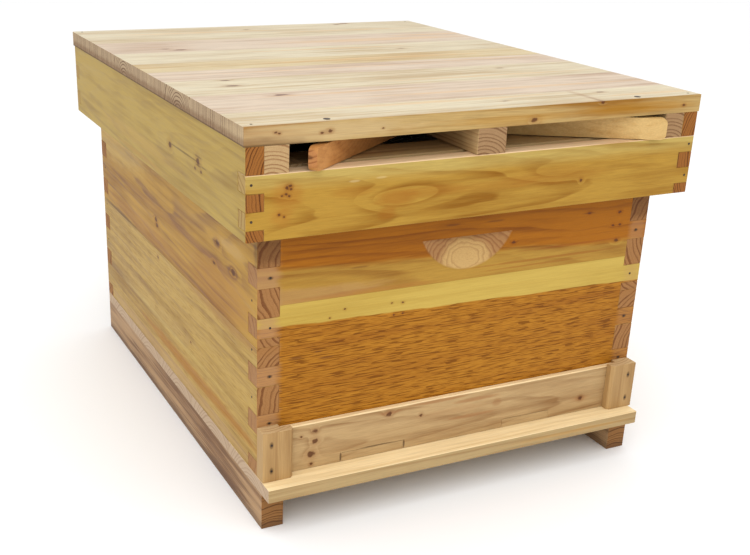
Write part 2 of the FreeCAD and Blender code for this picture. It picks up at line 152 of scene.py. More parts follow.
def timber_group():
    """Solid wood: growth rings about the Z axis of Place and fibres along it, in millimetres."""
    nodes, start, end = new_group(
        "Timber",
        [("Place", "Vector"), ("Ring", "Float"), ("Warp", "Float"), ("Swell", "Float"),
         ("Light", "Color"), ("Dark", "Color"), ("Figure", "Float"), ("Fibre", "Float"),
         ("Fleck", "Float"), ("Blotch", "Float"), ("End", "Float"), ("End Light", "Color"),
         ("End Dark", "Color")],
        [("Color", "Color"), ("Roughness", "Float"), ("Height", "Float")])
    place = start["Place"]
    # the trunk wanders, slowly and then finely, before the rings are measured from its middle
    centred = []
    for scale, share in (((1 / 70, 1 / 70, 1 / 420), 1.0), ((1 / 15, 1 / 15, 1 / 110), 0.3)):
        bend = nodes.vector("SUBTRACT", nodes.noise(place, scale, 2.0)[1], (0.5, 0.5, 0.5))
        centred.append(nodes.scaled(bend, nodes.math("MULTIPLY", start["Warp"], 2 * share)))
    x, y, z = nodes.split(nodes.vector("ADD", place, nodes.vector("ADD", *centred)))
    radius = nodes.vector("LENGTH", nodes.join(x, y, 0.0))
    radius = nodes.math("ADD", radius, start["Swell"])
    count = nodes.math("DIVIDE", radius, start["Ring"])
    uneven = nodes.noise(nodes.join(count, 3.7, 1.9), (0.23, 1, 1), 2.0)[0]
    phase = nodes.math("MULTIPLY_ADD", uneven, 3.6, count)
    # latewood darkens over each ring and stops short; each ring has its own strength
    part = nodes.math("FRACT", phase)
    late = nodes.math("SUBTRACT", nodes.step(part, 0.3, 0.88), nodes.step(part, 0.9, 1.0))
    strong = nodes.add("ShaderNodeTexWhiteNoise", {"W": nodes.math("FLOOR", phase)},
                       noise_dimensions="1D").outputs["Value"]
    late = nodes.math("MULTIPLY", late, nodes.math("MULTIPLY_ADD", strong, 0.8, 0.2))
    fading = nodes.step(nodes.noise(place, (1 / 22, 1 / 22, 1 / 140), 2.0)[0], 0.3, 0.62, 0.35, 1.0)
    fine = nodes.math("SUBTRACT", nodes.noise(place, (1.1, 1.1, 0.035), 3.0, 0.6)[0], 0.5)
    streak = nodes.math("SUBTRACT", nodes.noise(place, (0.16, 0.16, 0.0045), 4.0, 0.62)[0], 0.5)
    large = nodes.math("SUBTRACT", nodes.noise(place, (1 / 42, 1 / 42, 1 / 190), 3.0, 0.55)[0], 0.5)
    depth = nodes.math("MULTIPLY", nodes.math("MULTIPLY", late, fading), start["Figure"])
    depth = nodes.math("MULTIPLY_ADD", streak, nodes.math("MULTIPLY", start["Fibre"], 9.0), depth)
    depth = nodes.math("MULTIPLY_ADD", large, nodes.math("MULTIPLY", start["Blotch"], 3.0), depth)
    depth = nodes.math("ADD", depth, 0.12, clamp=True)
    colour = nodes.mix(depth, start["Light"], start["Dark"])
    shade = nodes.math("MULTIPLY_ADD", fine, nodes.math("MULTIPLY", start["Fibre"], 2.2), 1.0)
    # flecks: short and long dark dashes along the fibres
    short = nodes.step(nodes.noise(place, (1.15, 1.15, 0.075), 1.0, 0.4)[0], 0.48, 0.6)
    long = nodes.step(nodes.noise(place, (0.85, 0.85, 0.05), 0.0)[0], 0.58, 0.63)
    both = nodes.math("MULTIPLY_ADD", long, 0.95, nodes.math("MULTIPLY", short, 0.36))
    dash = nodes.math("MULTIPLY", both, start["Fleck"], clamp=True)
    shade = nodes.math("MULTIPLY", shade, nodes.math("MULTIPLY_ADD", dash, -0.5, 1.0))
    green_shade = nodes.math("MULTIPLY", shade, nodes.math("MULTIPLY_ADD", dash, -0.18, 1.0))
    blue_shade = nodes.math("MULTIPLY", shade, nodes.math("MULTIPLY_ADD", dash, -0.6, 1.0))
    colour = nodes.mix(1.0, colour, nodes.join(shade, green_shade, blue_shade), "MULTIPLY")
    # end grain: ring lines and open pores
    pores = nodes.noise(place, (1.6, 1.6, 0.2), 3.0, 0.7)[0]
    grit = nodes.math("MULTIPLY_ADD", pores, 1.2, -0.45)
    end_depth = nodes.math("MULTIPLY_ADD", nodes.step(late, 0.1, 0.7), 0.7, grit, clamp=True)
    end_colour = nodes.mix(end_depth, start["End Light"], start["End Dark"])
    colour = nodes.mix(start["End"], colour, end_colour)
    nodes.put(end["Color"], colour)
    rough = nodes.math("MULTIPLY_ADD", fine, 0.3, 0.5)
    rough = nodes.math("MULTIPLY_ADD", late, -0.08, rough)
    nodes.put(end["Roughness"], nodes.math("MULTIPLY_ADD", start["End"], 0.25, rough))
    height = nodes.math("MULTIPLY_ADD", fine, 0.6, nodes.math("MULTIPLY", late, 0.35))
    height = nodes.math("MULTIPLY_ADD", dash, -0.5, height)
    open_pores = nodes.math("MULTIPLY", pores, start["End"])
    nodes.put(end["Height"], nodes.math("MULTIPLY_ADD", open_pores, 0.8, height))
    return nodes.tree


def knot_group():
    """A knot: its dark core, the stained grain round it, and how far it pushes the rings apart."""
    nodes, start, end = new_group(
        "Knot", [("Place", "Vector"), ("Centre", "Vector"), ("Size", "Vector")],
        [("Core", "Float"), ("Halo", "Float"), ("Swell", "Float")])
    away = nodes.vector("SUBTRACT", start["Place"], start["Centre"])
    away = nodes.vector("DIVIDE", away, start["Size"])
    smooth = nodes.vector("LENGTH", away)
    wobble = nodes.noise(nodes.vector("ADD", away, start["Centre"]), (0.8, 0.8, 0.8), 1.0)[0]
    distance = nodes.math("ADD", smooth, nodes.math("MULTIPLY_ADD", wobble, 1.4, -0.7))
    nodes.put(end["Core"], nodes.step(distance, 1.35, 0.65))
    nodes.put(end["Halo"], nodes.step(distance, 3.4, 0.8))
    square = nodes.math("MULTIPLY", smooth, smooth)
    nodes.put(end["Swell"], nodes.math("POWER", 2.718, nodes.math("MULTIPLY", square, -0.2)))
    return nodes.tree


TIMBER = timber_group()
KNOT = knot_group()
AXES = "xyz"
# how far a knot or stain goes into the wood, and how strongly a knot pushes the rings aside
DEEP = 60.0
PUSH = 2.2
KNOT_CORE = linear(84, 46, 26)
KNOT_HALO = linear(190, 128, 70)
BRAD_HOLE = linear(50, 28, 18)


def on_face(face, u, v, half_u, half_v):
    """The centre and half sizes of something that goes straight in from a face such as "xz"."""
    centre, size = [0.0] * 3, [DEEP] * 3
    for axis, place, half in ((face[0], u, half_u), (face[1], v, half_v)):
        centre[AXES.index(axis)] = place
        size[AXES.index(axis)] = half
    return tuple(centre), tuple(size)


def knots_on(face, *spots, stretch=1.6):
    """Knots on a face, each given by its two places and its radius across the grain."""
    return [on_face(face, u, v, radius * stretch, radius) for u, v, radius in spots]


def stains_on(face, *patches):
    """Patches of another tone on a face: two places, two half sizes, the tone and its strength."""
    return [(*on_face(face, *patch[:4]), *patch[4:]) for patch in patches]


def brad_marks(face, *places, upright=False):
    """The dark slots that driven brads leave, across the grain or upright."""
    wide, high = (2.0, 3.6) if upright else (2.8, 1.7)
    return stains_on(face, *((u, v, wide, high, BRAD_HOLE, 0.9) for u, v in places))


def wood(node, grain, pith, light, dark, ring=4.5, warp=5.0, figure=0.7, fibre=0.22, fleck=0.0,
         blotch=0.5, tilt=(0.0, 0.0), knots=(), bends=(), bands=(), stains=(), bump=0.3, seed=0.0,
         dish=None, end=None):
    """A board's material.

    grain is the axis of the fibres; pith is where the tree's middle would lie across the board,
    and tilt how it drifts along it, in the two axes across the grain.  ring and warp are the
    spacing and the wander of the rings; figure, fibre, fleck and blotch are the strengths of the
    ring lines, fine fibres, dashes and large clouds between the light and dark tones.  knots and
    bends push the rings aside, and only knots are dark.  A band is a plane (normal and distance)
    past which other tones take over, with its softness and its raggedness.  dish is a handhold's
    cut surface, and end holds the two tones of end grain.
    """
    material, nodes = new_material(f"{node}_wood")
    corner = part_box(node)[0]
    source = nodes.add("ShaderNodeTexCoord", {})
    local = nodes.vector("SUBTRACT", source.outputs["Object"], tuple(corner))
    local = nodes.scaled(local, 1 / MM)
    along = AXES.index(grain)
    across = [axis for axis in range(3) if axis != along]
    parts = nodes.split(local)
    lie = [nodes.math("MULTIPLY_ADD", parts[along], -tilt[index],
                      nodes.math("SUBTRACT", parts[axis], pith[index]))
           for index, axis in enumerate(across)]
    place = nodes.join(*lie, nodes.math("ADD", parts[along], seed))
    normal = nodes.split(source.outputs["Normal"])[along]
    end_mask = nodes.step(nodes.math("ABSOLUTE", normal), 0.55, 0.85)

    swell = 0.0
    found_knots = []
    for number, (centre, size) in enumerate([*knots, *bends]):
        found = nodes.group(KNOT, Place=local, Centre=centre, Size=size)
        swell = nodes.math("MULTIPLY_ADD", found["Swell"], PUSH * min(size), swell)
        if number < len(knots):
            found_knots.append(found)
    for plane, soft, wobble, band_light, band_dark, band_fleck in bands:
        height = nodes.math("SUBTRACT", nodes.vector("DOT_PRODUCT", local, plane[:3]), plane[3])
        wave = nodes.noise(place, (0.05, 0.05, 0.011), 3.0, 0.55)[0]
        ragged = nodes.noise(place, (0.3, 0.3, 0.02), 2.0, 0.5)[0]
        wave = nodes.math("MULTIPLY_ADD", ragged, 0.5, wave)
        height = nodes.math("SUBTRACT", height, 1.5 * wobble)
        height = nodes.math("MULTIPLY_ADD", wave, 2 * wobble, height)
        mask = nodes.step(height, -soft, soft)
        light = nodes.mix(mask, light, band_light)
        dark = nodes.mix(mask, dark, band_dark)
        fleck = nodes.blend(mask, fleck, band_fleck)
    end_tones = dict(zip(("End Light", "End Dark"), end or (light, dark)))
    found = nodes.group(TIMBER, Place=place, Ring=ring, Warp=warp, Swell=swell, Light=light,
                        Dark=dark, Figure=figure, Fibre=fibre, Fleck=fleck, Blotch=blotch,
                        End=end_mask, **end_tones)
    colour, rough, relief = found["Color"], found["Roughness"], found["Height"]
    ragged = nodes.noise(place, (0.2, 0.2, 0.05), 3.0, 0.6)[0]
    ragged = nodes.math("MULTIPLY_ADD", ragged, 0.8, -0.4)
    for centre, size, tone, strength in stains:
        away = nodes.vector("DIVIDE", nodes.vector("SUBTRACT", local, centre), size)
        reach = nodes.math("ADD", nodes.vector("LENGTH", away), ragged)
        patch = nodes.mix(0.35, tone, colour)
        cover = nodes.math("MULTIPLY", nodes.step(reach, 1.25, 0.5), strength)
        colour = nodes.mix(cover, colour, patch)
    for knot in found_knots:
        colour = nodes.mix(nodes.math("MULTIPLY", knot["Halo"], 0.3), colour, KNOT_HALO, "MULTIPLY")
        colour = nodes.mix(nodes.math("MULTIPLY", knot["Core"], 0.85), colour, KNOT_CORE)
        relief = nodes.math("MULTIPLY_ADD", knot["Core"], -0.5, relief)
    if dish:
        colour, relief = scoop_look(nodes, local, dish, colour, relief)
    bumped = nodes.add("ShaderNodeBump", {"Strength": bump, "Distance": 0.0006, "Height": relief})
    # a low specular level keeps the pale surroundings from greying the strong yellows and ambers
    shader = nodes.add("ShaderNodeBsdfPrincipled", {
        "Base Color": colour, "Roughness": rough, "Normal": bumped.outputs[0],
        "Specular IOR Level": 0.12})
    nodes.add("ShaderNodeOutputMaterial", {"Surface": shader.outputs[0]})
    return material


def scoop_look(nodes, local, dish, colour, relief):
    """The handhold's cut surface: pale rings of cut grain round its foot, browner at the sides."""
    middle_x, middle_z, reach, face_y, inward = dish
    x, y, z = nodes.split(nodes.vector("SUBTRACT", local, (middle_x, face_y, middle_z)))
    sunk = nodes.math("MULTIPLY", y, inward)
    radial = nodes.vector("LENGTH", nodes.join(x, 0.0, z))
    inside = nodes.math("MULTIPLY", nodes.step(sunk, 0.1, 0.9),
                        nodes.step(radial, reach + 1, reach))
    wander = nodes.math("MULTIPLY_ADD", nodes.noise(local, (0.06, 0.06, 0.06), 2.0)[0], 9.0, -4.5)
    low = nodes.math("ADD", z, 0.8 * reach)
    oval = nodes.vector("LENGTH", nodes.join(nodes.math("DIVIDE", x, 1.65), 0.0, low))
    oval = nodes.math("ADD", oval, wander)
    part = nodes.math("FRACT", nodes.math("DIVIDE", oval, 3.4))
    line = nodes.math("MULTIPLY", nodes.step(part, 0.35, 0.85), nodes.step(part, 1.0, 0.9))
    line = nodes.math("MULTIPLY", line, nodes.step(oval, 6.0, 10.0))
    outer = nodes.step(oval, 13.0, 20.0)
    grain = nodes.noise(local, (0.5, 0.5, 1.1), 3.0, 0.7)[0]
    base = nodes.mix(outer, linear(196, 160, 102), linear(166, 122, 76))
    depth = nodes.math("MULTIPLY_ADD", outer, 0.28, 0.32)
    cut = nodes.mix(nodes.math("MULTIPLY", line, depth), base, linear(128, 80, 44))
    rough_spots = nodes.math("MULTIPLY", nodes.step(grain, 0.45, 0.7), 0.25)
    cut = nodes.mix(rough_spots, cut, linear(146, 100, 62))
    relief = nodes.math("MULTIPLY_ADD", nodes.math("MULTIPLY", inside, grain), 1.2, relief)
    return nodes.mix(inside, colour, cut), relief


def dress(node, bevel=0.6, **look):
    """Gives a CAD node its wood and softens its edges by so many millimetres."""
    paint(node, wood(node, **look))
    if bevel:
        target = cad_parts[node]
        weld = target.modifiers.new("weld", "WELD")
        weld.merge_threshold = 0.00001
        soften = target.modifiers.new("soften", "BEVEL")
        soften.width = bevel * MM
        soften.segments = 2
        soften.limit_method = "ANGLE"
        soften.angle_limit = math.radians(35)


def paint(node, material):
    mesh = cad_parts[node].data
    mesh.materials.clear()
    mesh.materials.append(material)


def size_of(node):
    low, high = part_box(node)
    return tuple((high - low) / MM)


def tones(light, dark):
    return {"light": linear(*light), "dark": linear(*dark)}


def cut_ends(light, dark):
    return linear(*light), linear(*dark)


CREAM = tones((202, 190, 162), (178, 154, 116))
PINK = tones((200, 182, 160), (174, 146, 120))
HONEY = tones((198, 180, 141), (172, 138, 86))
GOLD = tones((168, 129, 50), (132, 86, 16))
STRAW = tones((172, 144, 72), (132, 101, 40))
AMBER = tones((157, 95, 16), (109, 54, 4))
GLOW = tones((169, 130, 54), (131, 85, 27))
TAN = tones((176, 135, 56), (122, 78, 25))
SUN = tones((181, 149, 80), (134, 97, 39))
FLECKED = tones((171, 114, 31), (138, 79, 14))
LEMON = tones((190, 161, 78), (157, 122, 41))
BUFF = tones((188, 158, 113), (147, 111, 71))
FAWN = tones((178, 144, 96), (140, 104, 62))
PALE = tones((200, 172, 120), (166, 129, 80))
DRIFT = tones((174, 148, 104), (142, 110, 68))
LATH = tones((180, 150, 106), (140, 105, 66))
UMBER = tones((172, 138, 100), (116, 82, 54))
PEACH = tones((200, 166, 108), (179, 139, 79))
RUST = tones((184, 129, 72), (146, 90, 43))

BROWN_END = cut_ends((160, 115, 70), (106, 62, 32))
RED_END = cut_ends((152, 97, 44), (70, 32, 10))
PLANK_END = cut_ends((184, 160, 128), (88, 60, 38))
GREY_END = cut_ends((190, 166, 140), (164, 138, 112))
PALE_END = cut_ends((199, 170, 125), (164, 124, 81))
BATTEN_END = cut_ends((183, 152, 108), (132, 93, 58))
STRAW_END = cut_ends((174, 146, 92), (144, 111, 60))
UMBER_END = cut_ends((150, 106, 62), (82, 50, 24))
SHADED_END = cut_ends((160, 127, 90), (108, 74, 46))

# ---- lid --------------------------------------------------------------------------------------
# each plank's tones and knots, from the front, and streaks of a warmer tone along it
PLANKS = (
    (CREAM, [(371, 38, 1.6), (258, 28, 1.2)], [(200, 44, 150, 5), (420, 20, 60, 6)]),
    (PINK, [(79, 61, 2.6)], [(300, 30, 170, 5), (140, 56, 90, 4)]),
    (CREAM, [(59, 68, 2.0), (54, 39, 2.6), (356, 55, 1.4)], [(320, 20, 140, 4)]),
    (PINK, [], [(180, 30, 170, 3), (380, 40, 90, 3)]),
    (HONEY, [(499, 20, 1.4)], [(260, 25, 160, 6)]),
    (CREAM, [(323, 30, 1.3)], [(240, 50, 120, 4)]),
    (PINK, [(77, 14, 2.4), (64, 24, 1.6)], [(330, 34, 150, 13), (420, 58, 70, 6)]),
    (CREAM, [(357, 98, 2.6), (343, 92, 1.8), (209, 72, 1.4)],
     [(140, 60, 120, 6), (330, 40, 110, 5)]),
)
for number, (look, spots, streaks) in enumerate(PLANKS, start=1):
    node = f"lid_plank_{number}"
    width = size_of(node)[1]
    pith = (-70, 4) if number % 2 else (width + 60, 12)
    if number in (3, 6):
        pith = (width * 0.45, -9)
    warm_streaks_and_shadow = stains_on("xy", *((x, y, half, wide, linear(206, 164, 108), 0.6)
                             for x, y, half, wide in streaks))
    marks = knots_on("xy", *spots, stretch=2.6)
    bands = []
    # first plank: the top keeps the paler tones and the front face takes darker ones, painted light
    # for the sheen on the top
    if number == 1:
        bands = [((0, 1, 0, 1.5), 0.8, 0.3, look["light"], look["dark"], 0.0)]
        look = tones((176, 146, 92), (142, 98, 36))
        marks += knots_on("xz", (27, 10, 0.8), (30, 9, 0.7), (67, 7, 0.9), (74, 8, 1.2),
                          (271, 4, 1.8), (344, 15, 1.2), (439, 7, 1.0), (122, 7, 0.6))
        warm_streaks_and_shadow += stains_on("xz", (390, 8, 70, 5, linear(164, 114, 30), 0.8),
                          (250, 6, 60, 4, linear(170, 124, 46), 0.6),
                          (50, 8, 110, 9, linear(196, 172, 132), 0.6))
    # painted shadow: the bottom 7 mm near each plank's left end darker, with a darker line along its
    # bottom 1.5 mm
    warm_streaks_and_shadow += stains_on("yz", (width / 2, 0, 4 * width, 7, linear(104, 68, 40), 0.75),
                      (width / 2, 0, 4 * width, 1.5, linear(60, 38, 22), 0.8))
    dress(node, grain="x", pith=pith, **look, ring=3.4, warp=4, figure=0.85, fibre=0.36, blotch=0.9,
          tilt=(0.01, 0.012 * (-1) ** number), seed=137 * number, knots=marks, stains=warm_streaks_and_shadow,
          bands=bands, end=PLANK_END)

ORANGE = linear(146, 84, 14)
# the small pale glints on the front board below are painted highlights
PAINTED_GLINT = linear(226, 204, 156)
CRACK = linear(84, 60, 32)
dress("lid_front", grain="x", pith=(34, 20), **GOLD, ring=5.5, warp=8, figure=0.95, fibre=0.2,
      blotch=0.6, tilt=(0.05, 0.0), seed=40, end=STRAW_END,
      knots=knots_on("xz", (35.6, 42.7, 1.3), (38.4, 44.2, 1.2), (39.3, 41.4, 1.0),
                     (34.8, 37.6, 1.1), (37.8, 35.8, 1.0), (31.4, 36.5, 0.8), (29, 21, 1.0),
                     (33.4, 18.9, 0.8), (328, 23, 1.4), stretch=1.1),
      bends=knots_on("xz", (137, 25, 5.0), (300, 34, 3.5), stretch=4.0),
      stains=stains_on("xz", (36, 36, 14, 14, linear(156, 94, 28), 0.6),
                       (31, 18, 10, 8, linear(160, 98, 30), 0.5),
                       (137, 25, 20, 8, ORANGE, 0.75), (128, 12, 9, 7, ORANGE, 0.6),
                       (175, 28, 34, 5, ORANGE, 0.45), (96, 34, 22, 5, ORANGE, 0.4),
                       (240, 27, 60, 5, ORANGE, 0.35), (300, 30, 60, 8, ORANGE, 0.35),
                       (96, 43, 5, 1.0, PAINTED_GLINT, 0.4), (121, 44, 5, 1.0, PAINTED_GLINT, 0.35))
      + brad_marks("xz", (6, 33), (6, 3)),
      # the second band paints the front board's top edge pale: painted light on an edge that lies in
      # the shade of the planks above
      bands=[((0, 0, 1, 44), 6, 4, linear(178, 152, 82), linear(148, 114, 48), 0.0),
             ((0, 0, 1, 54.6), 0.2, 0.15, linear(226, 194, 154), linear(200, 162, 120), 0.0)])
for node in ("lid_left", "lid_right"):
    dress(node, grain="y", pith=(90, 36), **STRAW, ring=3.2, warp=8, figure=0.5, fibre=0.2,
          blotch=0.6, seed=90, tilt=(0.03, 0.01), end=RED_END,
          knots=knots_on("yz", (192, 38, 3.0), (113, 41, 3.2), (105, 33, 1.3), (121, 33, 1.3),
                         stretch=1.3),
          stains=stains_on("yz", (152, 40, 44, 1.1, CRACK, 0.9),
                           (112, 37, 7, 0.9, CRACK, 0.85),
                           (300, 20, 150, 8, linear(182, 146, 78), 0.5),
                           (112, 45, 10, 0.9, CRACK, 0.7), (98, 38, 8, 0.8, CRACK, 0.7),
                           (290, 5, 90, 3, linear(160, 116, 54), 0.6)))
dress("lid_back", grain="x", pith=(-40, 30), **GOLD, ring=5, warp=6, seed=410, end=STRAW_END,
      knots=knots_on("xz", (120, 30, 2.4), (330, 52, 1.8)))
for node, end in (("lid_batten_left", BATTEN_END), ("lid_batten_middle", SHADED_END),
                  ("lid_batten_right", SHADED_END)):
    dress(node, grain="y", pith=(5, -14), **BUFF, ring=3.2, warp=3, figure=0.9, seed=7, end=end)
dress("vent_shutter_left", grain="x", pith=(20, 40), **RUST, ring=4, warp=3, figure=0.3, seed=11,
      end=cut_ends((186, 128, 78), (140, 86, 48)),
      stains=stains_on("xz", (0, 11, 3, 2.2, linear(50, 24, 16), 0.9)))
dress("vent_shutter_right", grain="x", pith=(20, 40), **PEACH, ring=6, warp=3, figure=0.25, seed=31,
      end=PALE_END)

# ---- box --------------------------------------------------------------------------------------
CORNER = linear(170, 130, 92)
SMOKE = linear(96, 54, 26)
CHATTER = linear(140, 76, 24)
# the handhold's middle above the upper board's lower edge, and its radius
SCOOP_HEIGHT = 62.3
SCOOP_RADIUS = 53.3
length, thickness, _ = size_of("front_wall_upper")
dress("front_wall_upper", grain="x", pith=(50, -10), **AMBER, ring=5, warp=9, figure=0.6,
      fibre=0.18, tilt=(0.04, 0.02), seed=33, end=BROWN_END,
      bands=[((-0.045, 0, -1, -34), 4, 6, GLOW["light"], GLOW["dark"], 0.0)],
      dish=(length / 2, SCOOP_HEIGHT, SCOOP_RADIUS, 0.0, 1),
      knots=knots_on("xz", (343, 49.4, 1.0), (380, 46.7, 1.2), (373.5, 34, 1.0), (382, 34, 1.0),
                     (379.7, 18, 1.5), (258, 30, 1.2), stretch=1.6),
      stains=stains_on("xz", (190, 54, 9, 1.3, SMOKE, 0.8), (236, 53, 11, 1.2, SMOKE, 0.7),
                       (343, 49.4, 9, 1.0, SMOKE, 0.7), (97, 25.6, 10, 1.0, SMOKE, 0.7),
                       (40, 6, 90, 8, linear(168, 130, 88), 0.7),
                       (110, 2, 80, 3, linear(152, 92, 40), 0.6), (300, 10, 90, 1.3, CHATTER, 0.7),
                       (330, 20, 70, 1.1, CHATTER, 0.7), (290, 5, 70, 1.0, CHATTER, 0.6),
                       (9, 20, 13, 60, CORNER, 0.95), (405, 20, 11, 44, CORNER, 0.6))
      + brad_marks("xz", (12, 26), (403, 26)))
dress("front_wall_lower", grain="x", pith=(160, 60), **FLECKED, ring=7, warp=8, figure=0.25,
      fibre=0.14, fleck=1.3, seed=71, blotch=0.3, end=BROWN_END,
      bands=[((0.02, 0, 1, 143.5), 0.8, 2.6, LEMON["light"], LEMON["dark"], 0.0)],
      knots=knots_on("xz", (83.7, 151, 0.8), (131, 150, 0.7), (142.4, 149, 0.9), (133.8, 138, 0.8),
                     (143, 138.4, 0.8), (69, 144.5, 0.7), stretch=1.3),
      stains=stains_on("xz", (37, 111, 8, 1.2, SMOKE, 0.9), (67, 107, 8, 1.2, SMOKE, 0.9),
                       (59, 114, 5, 0.9, SMOKE, 0.9), (207, 4, 230, 9, linear(170, 130, 78), 0.5),
                       (9, 80, 13, 140, CORNER, 0.95), (405, 80, 11, 110, CORNER, 0.4))
      + brad_marks("xz", (12, 97.5), (12, 51.5), (403, 97.5), (403, 51.5)))
dress("back_wall_upper", grain="x", pith=(-50, 60), **GLOW, ring=5, warp=8, figure=0.6,
      tilt=(0.04, 0.0), seed=333, dish=(length / 2, SCOOP_HEIGHT, SCOOP_RADIUS, thickness, -1),
      end=BROWN_END, knots=knots_on("xz", (90, 60, 2.6), (330, 20, 2.0)))
dress("back_wall_lower", grain="x", pith=(60, 70), **SUN, ring=5, warp=8, figure=0.6,
      tilt=(0.04, 0.0), seed=353, knots=knots_on("xz", (140, 110, 2.8), (300, 40, 2.2)),
      end=BROWN_END)
for node, shift in (("left_wall_upper", 0), ("right_wall_upper", 700)):
    dress(node, grain="y", pith=(60, 60), **TAN, ring=5, warp=9, figure=0.65, fibre=0.2, blotch=0.8,
          tilt=(0.03, 0.02), seed=52 + shift, end=BROWN_END,
          knots=knots_on("yz", (289, 34, 2.3), (286, 28, 2.0), (98, 66, 2.4), (57, 51, 2.6),
                         (107, 44, 1.6), (502, 23, 1.6), stretch=1.9),
          stains=stains_on("yz", (57, 51, 22, 2.0, linear(104, 62, 36), 0.8),
                           (98, 66, 14, 1.2, linear(104, 62, 36), 0.7),
                           (60, 72, 34, 7, linear(208, 178, 128), 0.35),
                           (0, 88, 9, 15, linear(66, 32, 14), 0.7),
                           (260, 108, 260, 20, linear(192, 158, 98), 0.65),
                           (450, 82, 130, 24, linear(204, 178, 112), 0.55),
                           (330, 12, 170, 10, linear(150, 98, 52), 0.5),
                           (90, 22, 90, 26, linear(160, 106, 46), 0.55),
                           (478, 24, 26, 1.4, linear(96, 62, 44), 0.6),
                           # the dark line along the bottom edge near the back is painted shadow at
                           # the seam with the lower board
                           (435, 1, 80, 2.4, linear(78, 50, 44), 0.9),
                           (310, 2, 60, 2.4, linear(120, 76, 44), 0.6),
                           (170, 3, 60, 2.0, linear(128, 84, 48), 0.6),
                           (230, 46, 200, 5, linear(148, 102, 56), 0.45)))
for node, shift in (("left_wall_lower", 0), ("right_wall_lower", 700)):
    dress(node, grain="y", pith=(60, 60), **SUN, ring=5, warp=8, fleck=0.3, seed=152 + shift,
          figure=0.5, fibre=0.22, blotch=0.6, end=BROWN_END,
          knots=knots_on("yz", (286, 118, 1.6), (180, 60, 1.2), stretch=1.5),
          stains=stains_on("yz", (165, 27, 205, 7.5, linear(160, 100, 18), 0.95),
                           (260, 8, 300, 8, linear(192, 158, 118), 0.55),
                           (250, 46, 230, 4, linear(198, 174, 104), 0.4),
                           (90, 96, 90, 3, linear(184, 150, 84), 0.5),
                           (80, 124, 130, 8, linear(152, 104, 56), 0.7),
                           # the dark line along the top edge near the back is painted shadow at the
                           # seam with the upper board
                           (435, 126, 80, 1.4, linear(78, 50, 44), 0.8)))

# ---- floor and entrance -----------------------------------------------------------------------
dress("landing_board", grain="x", pith=(40, -30), **DRIFT, ring=4, figure=0.5, seed=3, end=GREY_END,
      # painted light: the band makes the top face paler than the front edge, as if lit more strongly
      # from above
      bands=[((0, 0, 1, 12.6), 0.2, 0.1, linear(244, 220, 172), linear(222, 192, 138), 0.0)],
      stains=stains_on("xz", (330, 6, 80, 2.0, linear(184, 136, 66), 0.6)))
for number in range(1, 5):
    dress(f"floor_board_{number}", grain="x", pith=(40, -30), **BUFF, ring=4, seed=3 + 61 * number,
          end=GREY_END)
for node in ("runner_left", "runner_right"):
    dress(node, grain="y", pith=(10, -30), **UMBER, ring=3, figure=0.8, fibre=0.4, blotch=1.2,
          seed=5, bump=0.6, end=UMBER_END,
          stains=stains_on("yz", (285, 0, 900, 8, linear(84, 58, 42), 0.8)))
for node in ("entrance_stop_left", "entrance_stop_right"):
    edge = 8.5 if node.endswith("left") else 21.5
    dress(node, grain="z", pith=(10, 40), **FAWN, ring=4, seed=9, end=PALE_END,
          stains=brad_marks("xz", (edge, 11), (edge, 37), upright=True))
SLAT_LOOK = {"grain": "x", "pith": (20, 20), "ring": 5, "warp": 7, "tilt": (0.05, 0.0), "seed": 15,
             "figure": 0.8, "end": PALE_END, **LATH}
# the dark slits at the gate's ends and the thin line along its top are painted shadow in the gaps
# round the gate
GAP_SHADOW = linear(48, 28, 18)
RIPPLE = linear(146, 94, 52)
dress("entrance_slat", bevel=0.3, **SLAT_LOOK,
      # the band on the top edge paints a pale line: a painted highlight where light from above
      # catches the edge
      bands=[((0, 0, 1, 45.2), 0.3, 0.1, linear(238, 212, 166), linear(218, 186, 136), 0.0)],
      knots=knots_on("xz", (111, 40, 2.3), (146, 32, 1.4), (34.6, 37.4, 2.0), (34.9, 27, 2.3),
                     (31, 14.4, 2.9), (31.4, 4, 1.3), (335, 15, 2.0), (21, 34, 1.0), stretch=1.15),
      stains=stains_on("xz", (112, 41, 14, 2, linear(152, 98, 56), 0.6),
                       (335, 15, 12, 3, linear(158, 106, 62), 0.5),
                       (165, 44, 36, 2.0, RIPPLE, 0.85), (208, 38, 24, 2.4, RIPPLE, 0.8),
                       (232, 30, 6, 4.5, RIPPLE, 0.6), (203, 21, 30, 2.2, RIPPLE, 0.8),
                       (180, 30, 40, 4, linear(178, 138, 94), 0.4),
                       (61.5, 5, 1.0, 4.6, GAP_SHADOW, 1.0), (128.9, 5, 1.0, 4.6, GAP_SHADOW, 1.0),
                       (101, 9.6, 20, 0.7, GAP_SHADOW, 0.85)))
for node in ("entrance_gate_left", "entrance_gate_right"):
    dress(node, bevel=0.2, **SLAT_LOOK)

# ---- inside -----------------------------------------------------------------------------------
for node in ("cover_rail_left", "cover_rail_right"):
    dress(node, grain="y", pith=(10, 40), **BUFF, ring=4, seed=21, end=PALE_END)
for node in ("cover_rail_front", "cover_rail_back", "cover_cross_bar"):
    dress(node, grain="x", pith=(10, 40), **BUFF, ring=4, seed=27, end=PALE_END)
for node, grain in (("frame_top_bars", "y"), ("frame_end_bars", "z"), ("frame_bottom_bars", "x")):
    dress(node, grain=grain, pith=(10, 40), **PALE, ring=3, seed=29, end=PALE_END)


